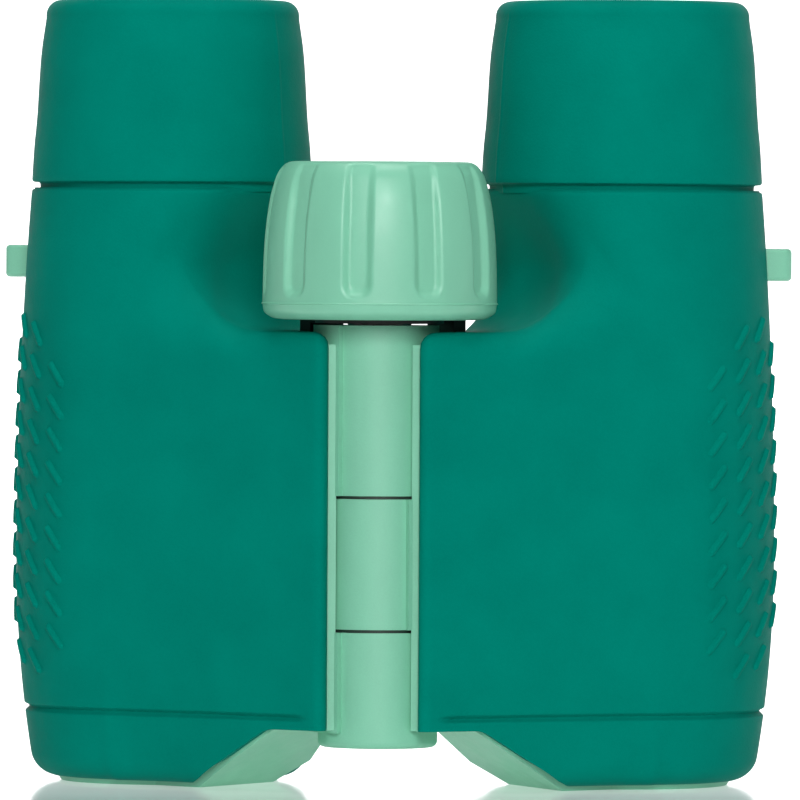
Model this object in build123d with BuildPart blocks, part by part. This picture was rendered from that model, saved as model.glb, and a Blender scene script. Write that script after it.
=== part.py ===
"""Compact 6 x 21 roof-prism binoculars, standing on their objective rims, eyepieces up.

Millimetres.  +Z runs from the objectives to the eyepieces, X across the two barrels, and -Y is the
side of the hinge and the focus wheel.  The origin is the middle of the footprint, at rim level.
"""
from build123d import *
from math import cos, degrees, hypot, radians, sin
import os

os.makedirs("parts", exist_ok=True)

# ---- driving dimensions -------------------------------------------------------------------------
PUPIL_DISTANCE = 57.6          # between the barrel axes, as set at rest
BARREL_Y = 9.15                # barrel axes behind the middle of the footprint
HINGE_DROP = 23.0              # hinge axis in front of the barrel axes
OBJECTIVE_DIAMETER = 21.0

BARREL_R_RIM = 17.2            # rubber skin at its lower corner
BARREL_R_WAIST = 19.7          # at its widest
BARREL_R_TOP = 17.9            # under the eyecup
CORNER_Z = 2.5
WAIST_Z = 28.6
SKIN_TOP_Z = 76.0
SKIN_THICK = 1.6
RIM_R = 14.0                   # hard rim that the binoculars stand on
RIM_LIP = 0.6

WEB_BOTTOM_Z = 7.9
WEB_TOP_Z = 57.7
TUBE_R = 7.5                   # hinge tube
TUBE_TOP_Z = 58.5
SEAM_Z = (7.55, 20.3, 37.0)    # end cap, lower and upper seams of the hinge tube
CAP_BOTTOM_Z = 5.6
CHANNEL_R = 7.9                # hollow in each web that clears the other barrel's knuckles
SEAM_GAP = 0.4                 # filled by a friction washer

SCOOP_R = 24.0                 # finger scoop, about the hinge axis
SCOOP_COVE = 10.0              # radius of its lower corner
SCOOP_TOP_Z = 75.4

WHEEL_R = 15.0
WHEEL_BOTTOM_Z = 59.2
WHEEL_TOP_Z = 79.0
WHEEL_GROOVES = 10
WHEEL_GROOVE_PHASE = -42.2     # degrees from -Y toward +X

EYECUP_BOTTOM_Z = 76.8
EYECUP_TOP_Z = 99.6
SHELL_TOP_Z = 76.4

FIT = 0.05                     # radial clearance of a shaft in its bore
PIN_R = 2.4

# ---- derived ------------------------------------------------------------------------------------
BARREL_X = PUPIL_DISTANCE / 2
HINGE_Y = BARREL_Y - HINGE_DROP
ARM_LENGTH = hypot(BARREL_X, HINGE_DROP)        # hinge axis to barrel axis
HINGE_AXIS = Axis((0, HINGE_Y, 0), (0, 0, 1))
LENS_R = OBJECTIVE_DIAMETER / 2
SIDES = {"left": -1, "right": 1}


def hinge_plane(z):
    """Horizontal plane centred on the hinge axis."""
    return Plane(origin=(0, HINGE_Y, z))


def barrel_plane(side, z):
    """Horizontal plane centred on a barrel axis."""
    return Plane(origin=(side * BARREL_X, BARREL_Y, z))


def arm_plane(side, z):
    """Horizontal plane at the hinge axis whose x runs to a barrel axis."""
    return Plane(origin=(0, HINGE_Y, z), x_dir=(side * BARREL_X, HINGE_DROP, 0), z_dir=(0, 0, 1))


def barrel_section(side):
    """Upright plane through a barrel axis: local x is the radius, local y the height."""
    return Plane(origin=(side * BARREL_X, BARREL_Y, 0), x_dir=(1, 0, 0), z_dir=(0, -1, 0))


def hinge_section():
    """Upright plane through the hinge axis: local x is the radius, local y the height."""
    return Plane(origin=(0, HINGE_Y, 0), x_dir=(1, 0, 0), z_dir=(0, -1, 0))


def barrel_axis(side):
    return Axis((side * BARREL_X, BARREL_Y, 0), (0, 0, 1))


def finish(piece, name):
    """Label a finished piece and write it."""
    piece.label = name
    export_step(piece, f"parts/{name}.step")


def ring(plane, outer, inner, height):
    """A plain tube standing on a plane."""
    with BuildPart() as tube:
        with BuildSketch(plane):
            Circle(outer)
            Circle(inner, mode=Mode.SUBTRACT)
        extrude(amount=height)
    return tube.part


# ---- barrels: outer form ------------------------------------------------------------------------
# Web outline in plan: distance out from the middle, and behind the barrel axes.
RIDGE_CREST = (7.75, -31.7)
RIDGE_R = 1.9
STRIP_EDGE = (4.75, -29.7)     # hard strip beside the hinge tube
SKIN_EDGE_U = 5.7              # rubber stops here, at the channel
WEB_BACK = ((5.9, -16.2), (10.2, -5.0))
WEB_INTO_BARREL = (34.9, -16.7)

# Bevel under the inner corner of each barrel: a point and its outward normal for a side of +1.
BEVEL_POINT = (12.3, -28.0, 8.2)
BEVEL_NORMAL = (-0.446, -0.24, -0.862)
WEB_FOOT = (31.2, -13.8)       # end of the web's front at rim level


def web_outline(side, inset, z, into):
    """Plan of a web at height z, its front running from the ridge back into the barrel at a point."""
    crest_u, crest_y = RIDGE_CREST
    front_y = BARREL_Y + crest_y + inset
    ridge = max(RIDGE_R - inset, 0.3)
    inner_u = STRIP_EDGE[0] if inset else SKIN_EDGE_U
    inner_y = BARREL_Y + STRIP_EDGE[1] if inset else front_y + ridge
    back_low, back_high = [(side * u, BARREL_Y + y) for u, y in WEB_BACK]
    crest_in = (side * (crest_u - ridge * 0.6), front_y + ridge * 0.2)
    crest_out = (side * (crest_u + ridge), front_y + ridge * 0.25)
    with BuildSketch(Plane.XY.offset(z)) as outline:
        with BuildLine():
            ThreePointArc(crest_in, (side * crest_u, front_y), crest_out)
            Polyline(
                crest_out, (side * into[0], BARREL_Y + into[1] + inset * 1.1),
                (side * BARREL_X, BARREL_Y), back_high, back_low, (side * inner_u, inner_y), crest_in,
            )
        make_face()
    return outline.sketch


def bevel_cutter(side, lift):
    """Wedge that cuts the lower inner bevel, lifted into the barrel by a little."""
    nx, ny, nz = BEVEL_NORMAL
    u, y, z = BEVEL_POINT
    plane = Plane(
        origin=(side * (u - lift * nx), BARREL_Y + y - lift * ny, z - lift * nz),
        z_dir=(side * nx, ny, nz),
    )
    with BuildPart() as cutter:
        with BuildSketch(Plane.XY.offset(-1)):
            with Locations((side * BARREL_X / 2, BARREL_Y - 20)):
                Rectangle(2 * BARREL_X, 60)
        extrude(amount=WEB_BOTTOM_Z + lift + 1)
        split(bisect_by=plane, keep=Keep.TOP)
    return cutter.part


def scoop_outline(inset):
    """Upright section of the finger scoop, drawn in by inset, with a coved lower corner."""
    reach = SCOOP_R + inset
    floor_z = WEB_TOP_Z - inset
    roof_z = SCOOP_TOP_Z + inset * 0.6
    with BuildSketch(hinge_section()) as outline:
        with BuildLine():
            cove_in = (reach - SCOOP_COVE, floor_z)
            cove_out = (reach, floor_z + SCOOP_COVE)
            TangentArc(cove_in, cove_out, tangent=(1, 0))
            Polyline(
                cove_out, (reach, roof_z - 5.0 - inset * 0.2), (reach - 6.0, roof_z), (0, roof_z),
                (0, floor_z), cove_in,
            )
        make_face()
    return outline.sketch


def barrel_form(side, inset, bottom_z, top_z):
    """One barrel with its web, finger scoop and lower bevel, drawn in by inset."""
    with BuildPart() as form:
        with BuildSketch(barrel_section(side)):
            with BuildLine():
                waist = (BARREL_R_WAIST - inset, WAIST_Z)
                corner = (BARREL_R_RIM - inset, CORNER_Z)
                rim = (RIM_R + 0.2 - inset / 4, bottom_z)
                head = (BARREL_R_TOP - inset, top_z)
                TangentArc(waist, head, tangent=(0, 1))
                TangentArc(waist, corner, tangent=(0, -1))
                Line(corner, rim)
                Polyline(rim, (0, bottom_z), (0, top_z), head)
            make_face()
        revolve(axis=barrel_axis(side))
        # The web, a flat-fronted arm from the ridge beside the hinge back into the barrel.
        add(web_outline(side, inset, WEB_BOTTOM_Z, WEB_INTO_BARREL))
        extrude(amount=WEB_TOP_Z - inset - WEB_BOTTOM_Z)
        add(web_outline(side, inset, WEB_BOTTOM_Z, WEB_INTO_BARREL))
        add(web_outline(side, inset, bottom_z, WEB_FOOT))
        loft()
        # Finger scoop, turned about the hinge axis.
        add(scoop_outline(inset))
        revolve(axis=HINGE_AXIS, mode=Mode.SUBTRACT)
        add(bevel_cutter(side, 0 if inset else 0.35), mode=Mode.SUBTRACT)
    return form.part


# ---- barrel shells ------------------------------------------------------------------------------
RECESS_R = 12.6                # cap recess in front of the objective
RECESS_DEPTH = 4.4
GUIDE_R = 12.0                 # bore that the objective cell slides in
GUIDE_TOP_Z = 24.0
SLEEVE_R = 13.3                # outside of the guide sleeve
CHAMBER_R = 15.8               # prism chamber, and the gap around the sleeve
ANNULUS_BOTTOM_Z = 10.0
CHAMBER_TOP_Z = 54.4
NECK_R = 9.9                   # bore that holds the eyepiece
LUG_ANGLE = 105.0              # from -Y, outward
LUG_TIP_R = 21.5
LUG_Z = (64.2, 68.3)
LUG_WIDTH = 8.6
LUG_SLOT = (1.5, 5.4)          # radial gap and width of the strap slot
LUG_BAR = 1.3
LUG_ROUNDING = 0.5

ARM_WIDTH = 6.0
ARM_LEG_X = (9.2, 11.0)        # upright leg of a focus arm, from the hinge axis
ARM_Z = (50.4, 51.9)           # flat outer leg, inside the web
ARM_POCKET_Z = 50.0
ROD_FROM_BARREL = 14.5         # focus rod to barrel axis, on the line to the hinge
ROD_R = 0.9

KNUCKLES = {                   # height ranges of each barrel's knuckles
    "left": ((SEAM_Z[0], SEAM_Z[1] - SEAM_GAP / 2), (SEAM_Z[2] + SEAM_GAP / 2, TUBE_TOP_Z)),
    "right": ((SEAM_Z[1] + SEAM_GAP / 2, SEAM_Z[2] - SEAM_GAP / 2),),
}


def lug_plane(side, z):
    """Horizontal plane at the barrel axis whose x runs out through the strap lug."""
    a = radians(LUG_ANGLE)
    return Plane(
        origin=(side * BARREL_X, BARREL_Y, z), x_dir=(side * sin(a), -cos(a), 0), z_dir=(0, 0, 1)
    )


def strap_lug(side, open_slot):
    """Loop on the outer side of a barrel, its slot running along the barrel."""
    root = BARREL_R_TOP - 2.0
    slot, width = LUG_SLOT
    with BuildPart() as lug:
        with BuildSketch(lug_plane(side, LUG_Z[0])):
            with Locations(((root + LUG_TIP_R) / 2, 0)):
                RectangleRounded(LUG_TIP_R - root, LUG_WIDTH, 1.2)
            if open_slot:
                with Locations((LUG_TIP_R - LUG_BAR - slot / 2, 0)):
                    RectangleRounded(slot, width, 0.6, mode=Mode.SUBTRACT)
        extrude(amount=LUG_Z[1] - LUG_Z[0])
        fillet(lug.faces().sort_by(Axis.Z)[-1].outer_wire().edges(), radius=LUG_ROUNDING)
        fillet(lug.faces().sort_by(Axis.Z)[0].outer_wire().edges(), radius=LUG_ROUNDING)
    return lug.part


def hard_blank(side, name):
    """Solid form of a hard shell, before it is bored out."""
    with BuildPart() as blank:
        add(barrel_form(side, SKIN_THICK, 0, SHELL_TOP_Z))
        with BuildSketch(hinge_plane(0)):
            Circle(CHANNEL_R)
        extrude(amount=TUBE_TOP_Z, mode=Mode.SUBTRACT)
        for low, high in KNUCKLES[name]:
            with BuildSketch(hinge_plane(low)):
                Circle(CHANNEL_R + 0.4)
                with BuildLine():
                    Polyline(
                        (0, 0), (side * 4.7, -7.4), (side * 9, -7.4), (side * 9, 7), (side * 5.6, 6.6),
                        close=True,
                    )
                make_face(mode=Mode.INTERSECT)
                Circle(TUBE_R)
            extrude(amount=high - low)
    return blank.part


def barrel_shell(side, name):
    """Hard shell: barrel, web, hinge knuckles and strap lug in one moulding."""
    pin_bore = PIN_R if name == "left" else PIN_R + FIT
    with BuildPart() as shell:
        add(hard_blank(side, name))
        add(strap_lug(side, True))
        bores = (
            (RECESS_R, 0, 0, RECESS_DEPTH),
            (GUIDE_R, 0, RECESS_DEPTH, GUIDE_TOP_Z),
            (CHAMBER_R, SLEEVE_R, ANNULUS_BOTTOM_Z, GUIDE_TOP_Z),
            (CHAMBER_R, 0, GUIDE_TOP_Z, CHAMBER_TOP_Z),
            (NECK_R, 0, CHAMBER_TOP_Z, SHELL_TOP_Z),
        )
        for outer, inner, low, high in bores:
            with BuildSketch(barrel_plane(side, low)):
                Circle(outer)
                if inner:
                    Circle(inner, mode=Mode.SUBTRACT)
            extrude(amount=high - low, mode=Mode.SUBTRACT)
        # Slot in the guide sleeve for the objective cell's lug, open at the top.
        with BuildSketch(arm_plane(side, ANNULUS_BOTTOM_Z)):
            with Locations((ARM_LENGTH - ROD_FROM_BARREL + 0.4, 0)):
                Rectangle(4.6, 3.6)
        extrude(amount=GUIDE_TOP_Z - ANNULUS_BOTTOM_Z, mode=Mode.SUBTRACT)
        # Pocket for the focus arm: a window into the prism chamber, and a well up to the wheel.
        window_end = ARM_LENGTH - CHAMBER_R + 1.2
        for start, end, low, high in (
            (ARM_LEG_X[0] - 0.4, window_end, ARM_POCKET_Z, CHAMBER_TOP_Z),
            (ARM_LEG_X[0] - 0.4, ARM_LEG_X[1] + 0.8, CHAMBER_TOP_Z, TUBE_TOP_Z),
        ):
            with BuildSketch(arm_plane(side, low)):
                with Locations(((start + end) / 2, 0)):
                    Rectangle(end - start, ARM_WIDTH + 1)
            extrude(amount=high - low, mode=Mode.SUBTRACT)
        with BuildSketch(hinge_plane(0)):
            Circle(pin_bore)
        extrude(amount=TUBE_TOP_Z + 1, mode=Mode.SUBTRACT)
    return shell.part


def armour_skin(side, name):
    """Rubber skin over one barrel and its web."""
    with BuildPart() as skin:
        add(barrel_form(side, 0, RIM_LIP, SKIN_TOP_Z))
        add(hard_blank(side, name), mode=Mode.SUBTRACT)
        add(strap_lug(side, False), mode=Mode.SUBTRACT)
        with BuildSketch(hinge_plane(0)):
            Circle(CHANNEL_R + 0.5)
        extrude(amount=WEB_TOP_Z + 1, mode=Mode.SUBTRACT)
        with BuildSketch(arm_plane(side, CHAMBER_TOP_Z)):
            with Locations(((ARM_LEG_X[0] + ARM_LEG_X[1]) / 2 + 0.2, 0)):
                Rectangle(ARM_LEG_X[1] - ARM_LEG_X[0] + 2.2, ARM_WIDTH + 1.4)
        extrude(amount=TUBE_TOP_Z - CHAMBER_TOP_Z, mode=Mode.SUBTRACT)
    return skin.part


for name, side in SIDES.items():
    finish(barrel_shell(side, name), f"{name}_shell")
    finish(armour_skin(side, name), f"{name}_armour")


# ---- eyepieces ----------------------------------------------------------------------------------
EYE_FLANGE_R = 15.4            # seats on the top of the shell
EYE_TUBE_R = 10.8
EYE_HEAD_R = 13.6              # carries the eyecup's upper end
EYE_HEAD_Z = (91.5, 94.0)
SPIGOT_Z = 62.0
EYE_BORE_R = 8.8
EYE_LENS_SEAT_Z = 88.2
EYE_LENS_R = 9.3
EYE_LENS_Z = (88.2, 91.2)
FIELD_LENS_Z = (67.0, 70.4)


def lens(plane_side, radius, low, high, bulge_low, bulge_high):
    """Biconvex lens about a barrel axis, its rim between two heights."""
    with BuildPart() as glass:
        with BuildSketch(barrel_section(plane_side)):
            with BuildLine():
                ThreePointArc((0, low - bulge_low), (radius / 2, low - bulge_low * 0.74), (radius, low))
                ThreePointArc((0, high + bulge_high), (radius / 2, high + bulge_high * 0.74), (radius, high))
                Line((radius, low), (radius, high))
                Line((0, low - bulge_low), (0, high + bulge_high))
            make_face()
        revolve(axis=barrel_axis(plane_side))
    return glass.part


def eyepiece_tube(side):
    """Black tube that plugs into the shell's neck and carries the eyepiece lenses."""
    with BuildPart() as tube:
        with BuildSketch(barrel_section(side)):
            with BuildLine():
                Polyline(
                    (EYE_BORE_R, SPIGOT_Z), (NECK_R - 0.05, SPIGOT_Z), (NECK_R - 0.05, SHELL_TOP_Z),
                    (EYE_FLANGE_R, SHELL_TOP_Z), (EYE_FLANGE_R, SHELL_TOP_Z + 1.6),
                    (EYE_TUBE_R, SHELL_TOP_Z + 1.6), (EYE_TUBE_R, EYE_HEAD_Z[0]),
                    (EYE_HEAD_R, EYE_HEAD_Z[0]), (EYE_HEAD_R, EYE_HEAD_Z[1]),
                    (EYE_LENS_R, EYE_HEAD_Z[1]), (EYE_LENS_R, EYE_LENS_SEAT_Z),
                    (EYE_BORE_R, EYE_LENS_SEAT_Z), close=True,
                )
            make_face()
        revolve(axis=barrel_axis(side))
        chamfer(tube.edges().group_by(Axis.Z)[-1], length=0.4)
    return tube.part


def eyecup(side):
    """Rubber cup over the eyepiece, slightly tapered, with a rounded lip."""
    lip_r = 15.85
    with BuildPart() as cup:
        with BuildSketch(barrel_section(side)):
            with BuildLine():
                foot = (BARREL_R_TOP, EYECUP_BOTTOM_Z)
                shoulder = (lip_r, EYECUP_TOP_Z - 2.0)
                ThreePointArc(foot, (17.2, 85.0), shoulder)
                crown = (lip_r - 1.7, EYECUP_TOP_Z)
                inner = (lip_r - 3.1, EYECUP_TOP_Z - 1.2)
                ThreePointArc(shoulder, (lip_r - 0.45, EYECUP_TOP_Z - 0.55), crown)
                Polyline(
                    crown, inner, (lip_r - 3.1, EYE_HEAD_Z[1] + 0.8), (EYE_HEAD_R, EYE_HEAD_Z[1]),
                    (EYE_HEAD_R, EYE_HEAD_Z[0]), (EYE_FLANGE_R, SHELL_TOP_Z + 2.2),
                    (EYE_FLANGE_R, EYECUP_BOTTOM_Z), foot,
                )
            make_face()
        revolve(axis=barrel_axis(side))
    return cup.part


def stepped_ring(side, points):
    """Turned ring about a barrel axis, from its section."""
    with BuildPart() as turned:
        with BuildSketch(barrel_section(side)):
            with BuildLine():
                Polyline(*points, close=True)
            make_face()
        revolve(axis=barrel_axis(side))
    return turned.part


def eyepiece(side, name):
    """Write one eyepiece: tube, two lenses, spacer, retaining ring and eyecup."""
    finish(eyepiece_tube(side), f"{name}_eyepiece_tube")
    finish(lens(side, EYE_LENS_R - 0.05, *EYE_LENS_Z, -0.5, 1.6), f"{name}_eye_lens")
    finish(lens(side, EYE_BORE_R - 0.05, *FIELD_LENS_Z, 1.2, 1.4), f"{name}_field_lens")
    spacer_low = FIELD_LENS_Z[1] + 0.3
    spacer = ring(barrel_plane(side, spacer_low), EYE_BORE_R - 0.03, 7.9, EYE_LENS_SEAT_Z - spacer_low)
    finish(spacer, f"{name}_lens_spacer")
    low, seat, high = EYE_LENS_Z[1], EYE_HEAD_Z[1], EYE_HEAD_Z[1] + 0.5
    outer = EYE_LENS_R - 0.05
    retainer = stepped_ring(side, (
        (outer, low), (outer, seat), (outer + 1.4, seat), (outer + 1.4, high), (outer - 0.6, high),
        (outer - 1.6, low + 1.3), (outer - 1.6, low + 0.7),
    ))
    finish(retainer, f"{name}_eye_lens_ring")
    finish(eyecup(side), f"{name}_eyecup")


# ---- prisms -------------------------------------------------------------------------------------
HOLDER_R = 15.3
HOLDER_Z = (26.0, 53.6)
HOLDER_PLATE = 1.6
PRISM_DEPTH = 13.0             # front to back
PRISM_HALF_OUTLINE = ((-8.4, 28.0), (7.4, 28.0), (11.0, 36.4), (6.9, 43.0), (-8.4, 28.6))
PRISM_ROOF_OUTLINE = ((-9.6, 29.6), (5.6, 44.0), (8.0, 51.6), (-7.6, 51.6), (-11.4, 42.0))


def prism(side, outline, roofed):
    """Glass prism with its outline in the XZ plane, bevelled into a roof if it is the roof prism."""
    with BuildPart() as glass:
        front = Plane(
            origin=(side * BARREL_X, BARREL_Y - PRISM_DEPTH / 2, 0), x_dir=(1, 0, 0), z_dir=(0, -1, 0)
        )
        with BuildSketch(front):
            with BuildLine():
                Polyline(*[(side * x, z) for x, z in outline], close=True)
            make_face()
        extrude(amount=-PRISM_DEPTH)
        if roofed:
            outer = glass.faces().sort_by(Axis.X)[0 if side > 0 else -1]
            chamfer(outer.edges().filter_by(lambda e: abs(e.tangent_at(0.5).Y) < 0.1), length=3.0)
    return glass.part


def prism_holder(side):
    """Cage with two bored plates and two side walls that grip the prisms."""
    low, high = HOLDER_Z
    with BuildPart() as cage:
        for z in (low, high - HOLDER_PLATE):
            with BuildSketch(barrel_plane(side, z)):
                Circle(HOLDER_R)
                Circle(6.2, mode=Mode.SUBTRACT)
            extrude(amount=HOLDER_PLATE)
        with BuildSketch(barrel_plane(side, low)):
            for y in (-1, 1):
                with Locations((0, y * (PRISM_DEPTH / 2 + 0.75))):
                    Rectangle(22, 1.5)
        extrude(amount=high - low)
        # Notch that clears the focus rod.
        with BuildSketch(arm_plane(side, low)):
            with Locations((ARM_LENGTH - HOLDER_R, 0)):
                Rectangle(5.2, 5.2)
        extrude(amount=high - low, mode=Mode.SUBTRACT)
        with BuildSketch(arm_plane(side, ARM_POCKET_Z)):
            with Locations((ARM_LENGTH - HOLDER_R, 0)):
                Rectangle(5.2, ARM_WIDTH + 1)
        extrude(amount=high - ARM_POCKET_Z, mode=Mode.SUBTRACT)
    return cage.part


def prism_set(side, name):
    finish(prism_holder(side), f"{name}_prism_holder")
    finish(prism(side, PRISM_HALF_OUTLINE, False), f"{name}_half_prism")
    finish(prism(side, PRISM_ROOF_OUTLINE, True), f"{name}_roof_prism")
    stop = ring(barrel_plane(side, CHAMBER_TOP_Z + 0.1), NECK_R - 0.1, 6.8, 1.2)
    finish(stop, f"{name}_field_stop")


# ---- objectives and their focusing slides -------------------------------------------------------
CELL_Z = (4.6, 20.0)
CELL_R = GUIDE_R - FIT
LENS_Z = (7.0, 10.4)
CELL_LUG_Z = (12.0, 16.0)


def objective_cell(side):
    """Sliding cell: lens pocket at the front, light tube behind, and a lug for the focus rod."""
    low, high = CELL_Z
    with BuildPart() as cell:
        with BuildSketch(barrel_section(side)):
            with BuildLine():
                Polyline(
                    (LENS_R + 0.05, low), (CELL_R, low), (CELL_R, high), (LENS_R - 0.3, high),
                    (LENS_R - 0.3, LENS_Z[1] + 3.0), (LENS_R - 1.0, LENS_Z[1] + 2.0),
                    (LENS_R - 1.0, LENS_Z[1] + 0.2), (LENS_R + 0.05, LENS_Z[1]), close=True,
                )
            make_face()
        revolve(axis=barrel_axis(side))
        with BuildSketch(arm_plane(side, CELL_LUG_Z[0])):
            with Locations((ARM_LENGTH - (CELL_R + ROD_FROM_BARREL) / 2 + 0.2, 0)):
                Rectangle(ROD_FROM_BARREL - CELL_R + 0.6, 3.0)
            with Locations((ARM_LENGTH - ROD_FROM_BARREL, 0)):
                Circle(1.25)
        extrude(amount=CELL_LUG_Z[1] - CELL_LUG_Z[0])
        with BuildSketch(arm_plane(side, CELL_LUG_Z[0])):
            with Locations((ARM_LENGTH - ROD_FROM_BARREL, 0)):
                Circle(ROD_R)
        extrude(amount=CELL_LUG_Z[1] - CELL_LUG_Z[0], mode=Mode.SUBTRACT)
    return cell.part


def objective(side, name):
    finish(objective_cell(side), f"{name}_objective_cell")
    finish(lens(side, LENS_R, *LENS_Z, 1.3, 0.8), f"{name}_objective_lens")
    retainer = stepped_ring(side, (
        (LENS_R, CELL_Z[0] + 0.3), (LENS_R, LENS_Z[0]), (LENS_R - 0.7, LENS_Z[0] - 0.2),
        (LENS_R - 0.7, LENS_Z[0] - 0.8), (LENS_R - 0.2, CELL_Z[0] + 0.3),
    ))
    finish(retainer, f"{name}_objective_ring")


HUB_R = 6.5
BOSS_R = 4.6                   # threaded boss inside the wheel, which drives the hub
HUB_Z = (58.7, 62.9)
EYE_THICK = 1.0
EYE_Z = {"left": HUB_Z[0] + 0.05, "right": HUB_Z[0] + 1.15}


def focus_arm(side, name):
    """Bent arm: an eye round the hub, a leg down into the web, and a tongue to the focus rod."""
    eye_z = EYE_Z[name]
    eye_bore = HUB_R if name == "left" else HUB_R + FIT
    leg_in, leg_out = ARM_LEG_X
    with BuildPart() as arm:
        with BuildSketch(arm_plane(side, eye_z)):
            Circle(HUB_R + 1.6)
            with Locations(((leg_out + HUB_R) / 2, 0)):
                Rectangle(leg_out - HUB_R, ARM_WIDTH)
            Circle(eye_bore, mode=Mode.SUBTRACT)
        extrude(amount=EYE_THICK)
        with BuildSketch(arm_plane(side, ARM_Z[0])):
            with Locations(((leg_in + leg_out) / 2, 0)):
                Rectangle(leg_out - leg_in, ARM_WIDTH)
        extrude(amount=eye_z + EYE_THICK - ARM_Z[0])
        tongue_end = ARM_LENGTH - ROD_FROM_BARREL
        with BuildSketch(arm_plane(side, ARM_Z[0])):
            with Locations(((leg_in + tongue_end) / 2, 0)):
                Rectangle(tongue_end - leg_in, ARM_WIDTH - 2)
            with Locations((tongue_end, 0)):
                Circle(1.3)
                Circle(ROD_R, mode=Mode.SUBTRACT)
        extrude(amount=ARM_Z[1] - ARM_Z[0])
        with BuildSketch(arm_plane(side, ARM_Z[0])):
            with Locations((tongue_end, 0)):
                Circle(ROD_R)
        extrude(amount=ARM_Z[1] - ARM_Z[0], mode=Mode.SUBTRACT)
    return arm.part


def focus_rod(side):
    """Steel rod from the arm to the objective cell."""
    with BuildPart() as rod:
        with BuildSketch(arm_plane(side, CELL_LUG_Z[0] - 0.6)):
            with Locations((ARM_LENGTH - ROD_FROM_BARREL, 0)):
                Circle(ROD_R)
        extrude(amount=ARM_Z[1] + 0.4 - CELL_LUG_Z[0] + 0.6)
    return rod.part


for name, side in SIDES.items():
    eyepiece(side, name)
    prism_set(side, name)
    objective(side, name)
    finish(focus_arm(side, name), f"{name}_focus_arm")
    finish(focus_rod(side), f"{name}_focus_rod")


# ---- hinge --------------------------------------------------------------------------------------
PIN_Z = (9.0, 76.05)
COLLAR_R = 4.0                 # seats the pin on top of the hinge tube
COLLAR_TOP_Z = 59.9
WASHER_R = 7.2
SCREW_R = 1.25
END_SCREW_HEAD_R = 2.6


def hinge_pin():
    """Steel pin through the knuckles, extended upward as the focus wheel's post."""
    low, high = PIN_Z
    with BuildPart() as pin:
        with BuildSketch(hinge_plane(low)):
            Circle(PIN_R)
        extrude(amount=high - low)
        with BuildSketch(hinge_plane(TUBE_TOP_Z)):
            Circle(COLLAR_R)
        extrude(amount=COLLAR_TOP_Z - TUBE_TOP_Z)
        for z, depth in ((low, 6.0), (high, -7.0)):
            with BuildSketch(hinge_plane(z)):
                Circle(SCREW_R)
            extrude(amount=depth, mode=Mode.SUBTRACT)
    return pin.part


def hinge_end_cap():
    """Cap under the hinge tube, with a sunk seat for its screw."""
    with BuildPart() as cap:
        with BuildSketch(hinge_plane(CAP_BOTTOM_Z)):
            Circle(TUBE_R)
        extrude(amount=SEAM_Z[0] - CAP_BOTTOM_Z)
        with BuildSketch(hinge_plane(SEAM_Z[0])):
            Circle(PIN_R - 0.05)
        extrude(amount=PIN_Z[0] - SEAM_Z[0])
        fillet(cap.faces().sort_by(Axis.Z)[0].edges(), radius=0.8)
        with BuildSketch(hinge_plane(CAP_BOTTOM_Z)):
            Circle(END_SCREW_HEAD_R + 0.2)
        extrude(amount=1.3, mode=Mode.SUBTRACT)
        with BuildSketch(hinge_plane(CAP_BOTTOM_Z)):
            Circle(SCREW_R + 0.1)
        extrude(amount=PIN_Z[0] - CAP_BOTTOM_Z, mode=Mode.SUBTRACT)
    return cap.part


def cross_screw(head_z, head_r, head_height, shank, points_up):
    """Pan-head screw on the hinge axis with a cross recess; its shank points up or down."""
    way = 1 if points_up else -1
    with BuildPart() as screw:
        with BuildSketch(hinge_plane(head_z)):
            Circle(head_r)
        extrude(amount=way * head_height)
        with BuildSketch(hinge_plane(head_z + way * head_height)):
            Circle(SCREW_R)
        extrude(amount=way * shank)
        with BuildSketch(hinge_plane(head_z)):
            Rectangle(head_r * 1.2, 0.7)
            Rectangle(0.7, head_r * 1.2)
        extrude(amount=way * head_height * 0.6, mode=Mode.SUBTRACT)
    return screw.part


finish(hinge_pin(), "hinge_pin")
finish(hinge_end_cap(), "hinge_end_cap")
finish(cross_screw(CAP_BOTTOM_Z + 0.2, END_SCREW_HEAD_R, 1.1, 5.0, True), "hinge_end_screw")
for name, seam in (("lower", SEAM_Z[1]), ("upper", SEAM_Z[2])):
    thick = SEAM_GAP - 0.04
    finish(ring(hinge_plane(seam - thick / 2), WASHER_R, PIN_R + 0.1, thick), f"{name}_hinge_washer")


# ---- focus wheel --------------------------------------------------------------------------------
HOLLOW_R = 12.0                # hollow under the wheel, which takes the hub and the arms
HOLLOW_TOP_Z = 74.5
BUSH_R = 3.2
BOSS_BOTTOM_Z = 60.0
BOSS_TOP_Z = 76.0
CAP_R = 6.2
CAP_FLOOR_Z = 77.9
GROOVE_WIDTH = 3.2
GROOVE_DEPTH = 0.8
GROOVE_Z = (62.3, 78.2)


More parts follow.
